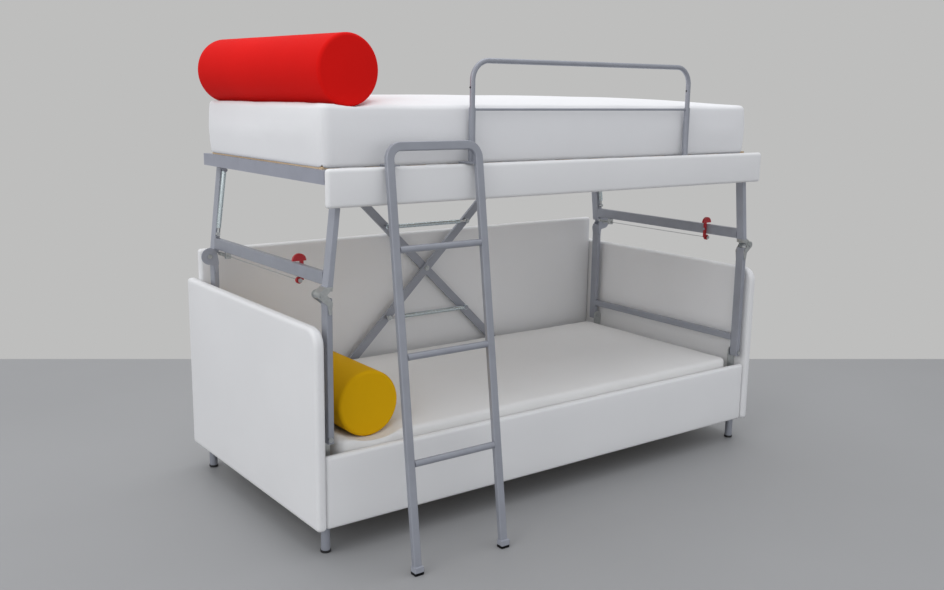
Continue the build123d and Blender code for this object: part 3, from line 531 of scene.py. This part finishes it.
class Bolster:
    """Where a round cushion lies, read from its CAD node."""

    def __init__(self, node, turn):
        low, high = corners(node)
        self.middle = (low + high) / 2
        self.turn = turn
        self.radius = (high.z - low.z) / 2
        across = self.radius * 2 * abs(math.sin(turn))
        self.half = (high.y - low.y - across) / math.cos(turn) / 2
        self.along = Vector((-math.sin(turn), math.cos(turn), 0))

    def bed_height(self, p):
        """The highest that a mattress may stand at p, with the cushion's weight in its hollow."""
        flat = Vector((p.x - self.middle.x, p.y - self.middle.y, 0))
        past = max(0, abs(flat.dot(self.along)) - self.half)
        across = abs(flat.cross(self.along).z)
        return self.middle.z - self.radius - HOLLOW_GAP + HOLLOW_RISE * (across ** 2 + past ** 2)


UPPER_BOLSTER = Bolster("upper_bolster", UPPER_TURN)
LOWER_BOLSTER = Bolster("lower_bolster", 0.0)

MATTRESS_STEP = 0.022
MATTRESS_CORNER = 0.032
MATTRESS_EDGES = (0.010, 0.015)
MATTRESS_LIFT = 0.001
CROWN_ALONG = 3.5
CROWN_ACROSS = 3
SIDE_POWER = 8
CORNER_SHARE = 0.75
RIPPLE = 0.0022
RIPPLE_SCALE = (5, 5, 9)
RIPPLE_FADE = 0.5
SAG = 0.0075
SAG_REACH = 0.004
SAG_HEIGHT = 0.35
TOP_WAVE = 0.0018
TOP_WAVE_SCALE = (4, 4, 0)


def waves(p, scale):
    """Smooth waves over the places, drawn together by a scale for each axis."""
    return noise.noise(Vector((p.x * scale[X], p.y * scale[Y], p.z * scale[Z])))


def mattress(node, body, material, crown, bulge, cushion, slats):
    """A foam mattress in its cover: small soft edges, full sides that pull in at the corners,
    a crowned top, a hollow under the cushion that lies on it, and a foot that sags over the
    ends of its slats."""
    slat_low, slat_high = corners(slats)
    low, high = corners(node)
    inset = Vector((bulge, bulge, MATTRESS_LIFT))
    low, high = low + inset, high - inset
    high.z -= crown
    box = SoftBox(low, high, Z, {side: MATTRESS_CORNER for side in SIDES}, MATTRESS_EDGES)
    points, faces = box.surface(MATTRESS_STEP)
    for p in points:
        tall = (p.z - low.z) / (high.z - low.z)
        _, out = box.soften(p)
        u, v = box.share(p, X), box.share(p, Y)
        at_side = max(abs(u), abs(v)) ** SIDE_POWER
        from_corner = max(0, 1 - u * u * v * v)
        full = (1 - (2 * tall - 1) ** 2) * (CORNER_SHARE + (1 - CORNER_SHARE) * from_corner)
        p += out * (bulge * full * at_side)
        p += out * (RIPPLE * waves(p, RIPPLE_SCALE) * at_side * (1 - tall * RIPPLE_FADE))
        past = max(slat_low.x - p.x, p.x - slat_high.x, slat_low.y - p.y, p.y - slat_high.y)
        p.z -= SAG * min(1, max(0, past) / SAG_REACH) * max(0, 1 - tall / SAG_HEIGHT)
        lift = max(0, 1 - abs(u) ** CROWN_ALONG) * max(0, 1 - abs(v) ** CROWN_ACROSS)
        p.z += (crown * lift + TOP_WAVE * waves(p, TOP_WAVE_SCALE)) * tall ** 2
    obj = mesh_object(node + "_cover", points, faces, material)
    inflate(obj)
    for vertex in obj.data.vertices:
        if vertex.co.z > box.middle.z:
            vertex.co.z = min(vertex.co.z, cushion.bed_height(vertex.co))
    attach(obj, body)
    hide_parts(node)


mattress(
    "upper_mattress", "upper_bed", WHITE_COVER,
    crown=0.027, bulge=0.008, cushion=UPPER_BOLSTER, slats="upper_slats",
)
mattress(
    "lower_mattress", "base", CREAM_COVER,
    crown=0.012, bulge=0.004, cushion=LOWER_BOLSTER, slats="base_slats",
)

BOLSTER_EDGE = 0.012
END_DOME = 0.004
SIDE_GAP = 0.0006
END_GAP = 0.001
SEGMENTS = 96
ARC_STEPS = 8
LENGTH_STEPS = 30
COVER_WAVE = 0.003


def bolster(node, body, material, cushion):
    """A round cushion: a tight cover over a foam cylinder, with small soft edges and faintly
    domed ends."""
    radius = cushion.radius - SIDE_GAP
    half = cushion.half - END_GAP
    end = half - END_DOME
    flat = radius - BOLSTER_EDGE
    inner = end - BOLSTER_EDGE
    angles = [k / ARC_STEPS * math.pi / 2 for k in range(ARC_STEPS + 1)]
    cap, arc = [], []
    for angle in angles:
        r = flat * math.sin(angle)
        cap.append((-end - END_DOME * (1 - (r / flat) ** 2), r))
    for angle in angles[1:-1]:
        x = -end + BOLSTER_EDGE * (1 - math.cos(angle))
        arc.append((x, flat + BOLSTER_EDGE * math.sin(angle)))
    side = [(-inner + 2 * inner * k / LENGTH_STEPS, radius) for k in range(LENGTH_STEPS + 1)]
    profile = cap + arc + side + [(-x, r) for x, r in reversed(cap + arc)]
    points, rings, faces = [], [], []
    for x, r in profile:
        ring = []
        for s in range(1 if r < TINY else SEGMENTS):
            angle = 2 * math.pi * s / SEGMENTS
            ray = Vector((math.cos(angle), 0, math.sin(angle)))
            swing = noise.noise(Vector((ray.x * 2, x * 7, ray.z * 2))) - 0.5
            wave = 1 + COVER_WAVE * swing * min(1, r / flat)
            ring.append(len(points))
            points.append(ray * (r * wave) + Vector((0, x, 0)))
        rings.append(ring)
    for a, b in zip(rings, rings[1:]):
        for s in range(SEGMENTS):
            t = (s + 1) % SEGMENTS
            loop = [a[s % len(a)], a[t % len(a)], b[t % len(b)], b[s % len(b)]]
            faces.append(list(dict.fromkeys(loop)))
    placed = Matrix.Translation(cushion.middle) @ Matrix.Rotation(cushion.turn, 4, "Z")
    obj = mesh_object(node + "_cover", [placed @ p for p in points], faces, material)
    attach(obj, body)
    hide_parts(node)


bolster("upper_bolster", "upper_cushion", RED_CLOTH, UPPER_BOLSTER)
bolster("lower_bolster", "lower_cushion", YELLOW_CLOTH, LOWER_BOLSTER)


# Floor, backdrop, light and camera
def plain(name, color, roughness):
    """A plain ground with faint clouds and a faint unevenness."""
    finish = Finish(name, color, roughness)
    finish.color(finish.noise(scale=0.8, detail=5.0), shades(color, spread=0.03))
    finish.bump(finish.noise(scale=6.0, detail=6.0), distance=0.002, strength=0.2)
    return finish.material


def sheet(name, points, material):
    obj = mesh_object(name, [Vector(p) for p in points], [[0, 1, 2, 3]], material)


# The floor ends where the photograph's wall stands, behind the bed; the wall itself is the
# world's colour
FLOOR_GREY = (0.335, 0.337, 0.34)
WALL_FOOT = Vector((-0.645627, 2.300035, 0))
WALL_ALONG = Vector((3.023166, -1.998520, 0)).normalized()
FROM_WALL = Vector((WALL_ALONG.y, -WALL_ALONG.x, 0))
FLOOR_REACH = 16.0
near_edge = WALL_FOOT + FROM_WALL * FLOOR_REACH
sheet(
    "floor",
    [
        WALL_FOOT - WALL_ALONG * FLOOR_REACH,
        near_edge - WALL_ALONG * FLOOR_REACH,
        near_edge + WALL_ALONG * FLOOR_REACH,
        WALL_FOOT + WALL_ALONG * FLOOR_REACH,
    ],
    plain("floor", FLOOR_GREY, roughness=0.5),
)

# The wall's colour is what the camera and the metal see; the softer sky only lights the bed
world = bpy.data.worlds.new("studio")
bpy.context.scene.world = world
world.use_nodes = True
tree = world.node_tree
background = tree.nodes["Background"]
background.inputs["Color"].default_value = (0.93, 0.95, 1.0, 1)
background.inputs["Strength"].default_value = 0.80
wall = tree.nodes.new("ShaderNodeBackground")
wall.inputs["Color"].default_value = (0.515, 0.515, 0.510, 1)
wall.inputs["Strength"].default_value = 1.0
mix = tree.nodes.new("ShaderNodeMixShader")
path = tree.nodes.new("ShaderNodeLightPath")
seen = tree.nodes.new("ShaderNodeMath")
seen.operation = "MAXIMUM"
tree.links.new(path.outputs["Is Camera Ray"], seen.inputs[0])
tree.links.new(path.outputs["Is Glossy Ray"], seen.inputs[1])
tree.links.new(seen.outputs[0], mix.inputs["Fac"])
tree.links.new(background.outputs[0], mix.inputs[1])
tree.links.new(wall.outputs[0], mix.inputs[2])
tree.links.new(mix.outputs[0], tree.nodes["World Output"].inputs["Surface"])


def lamp(name, place, target, size, power):
    light = bpy.data.lights.new(name, "AREA")
    light.shape = "RECTANGLE"
    light.size, light.size_y = size
    light.energy = power
    obj = bpy.data.objects.new(name, light)
    obj.location = place
    obj.rotation_euler = (Vector(target) - Vector(place)).to_track_quat("-Z", "Y").to_euler()
    bpy.context.scene.collection.objects.link(obj)


lamp("key", place=(-4.8, -1.0, 3.2), target=(0, 0, 0.7), size=(4.0, 3.5), power=62)
lamp("fill", place=(-1.2, -5.0, 1.0), target=(0, 0, 0.6), size=(6.0, 1.6), power=14)
lamp("top", place=(0.2, 0.8, 4.8), target=(0, 0.2, 0), size=(5.0, 4.0), power=74)

camera = bpy.data.cameras.new("photo")
camera.lens = CAMERA_LENS
camera.sensor_width = 36
ahead = Vector((
    math.sin(CAMERA_YAW) * math.cos(CAMERA_PITCH),
    math.cos(CAMERA_YAW) * math.cos(CAMERA_PITCH),
    -math.sin(CAMERA_PITCH),
))
right = ahead.cross(Vector((0, 0, 1))).normalized()
up = right.cross(ahead)
level_right = math.cos(CAMERA_ROLL) * right + math.sin(CAMERA_ROLL) * up
level_up = math.cos(CAMERA_ROLL) * up - math.sin(CAMERA_ROLL) * right
eye = bpy.data.objects.new("photo", camera)
turn = Matrix((level_right, level_up, -ahead)).transposed().to_4x4()
eye.matrix_world = Matrix.Translation(CAMERA_PLACE) @ turn
bpy.context.scene.collection.objects.link(eye)
bpy.context.scene.camera = eye
bpy.context.scene.view_settings.view_transform = "Standard"
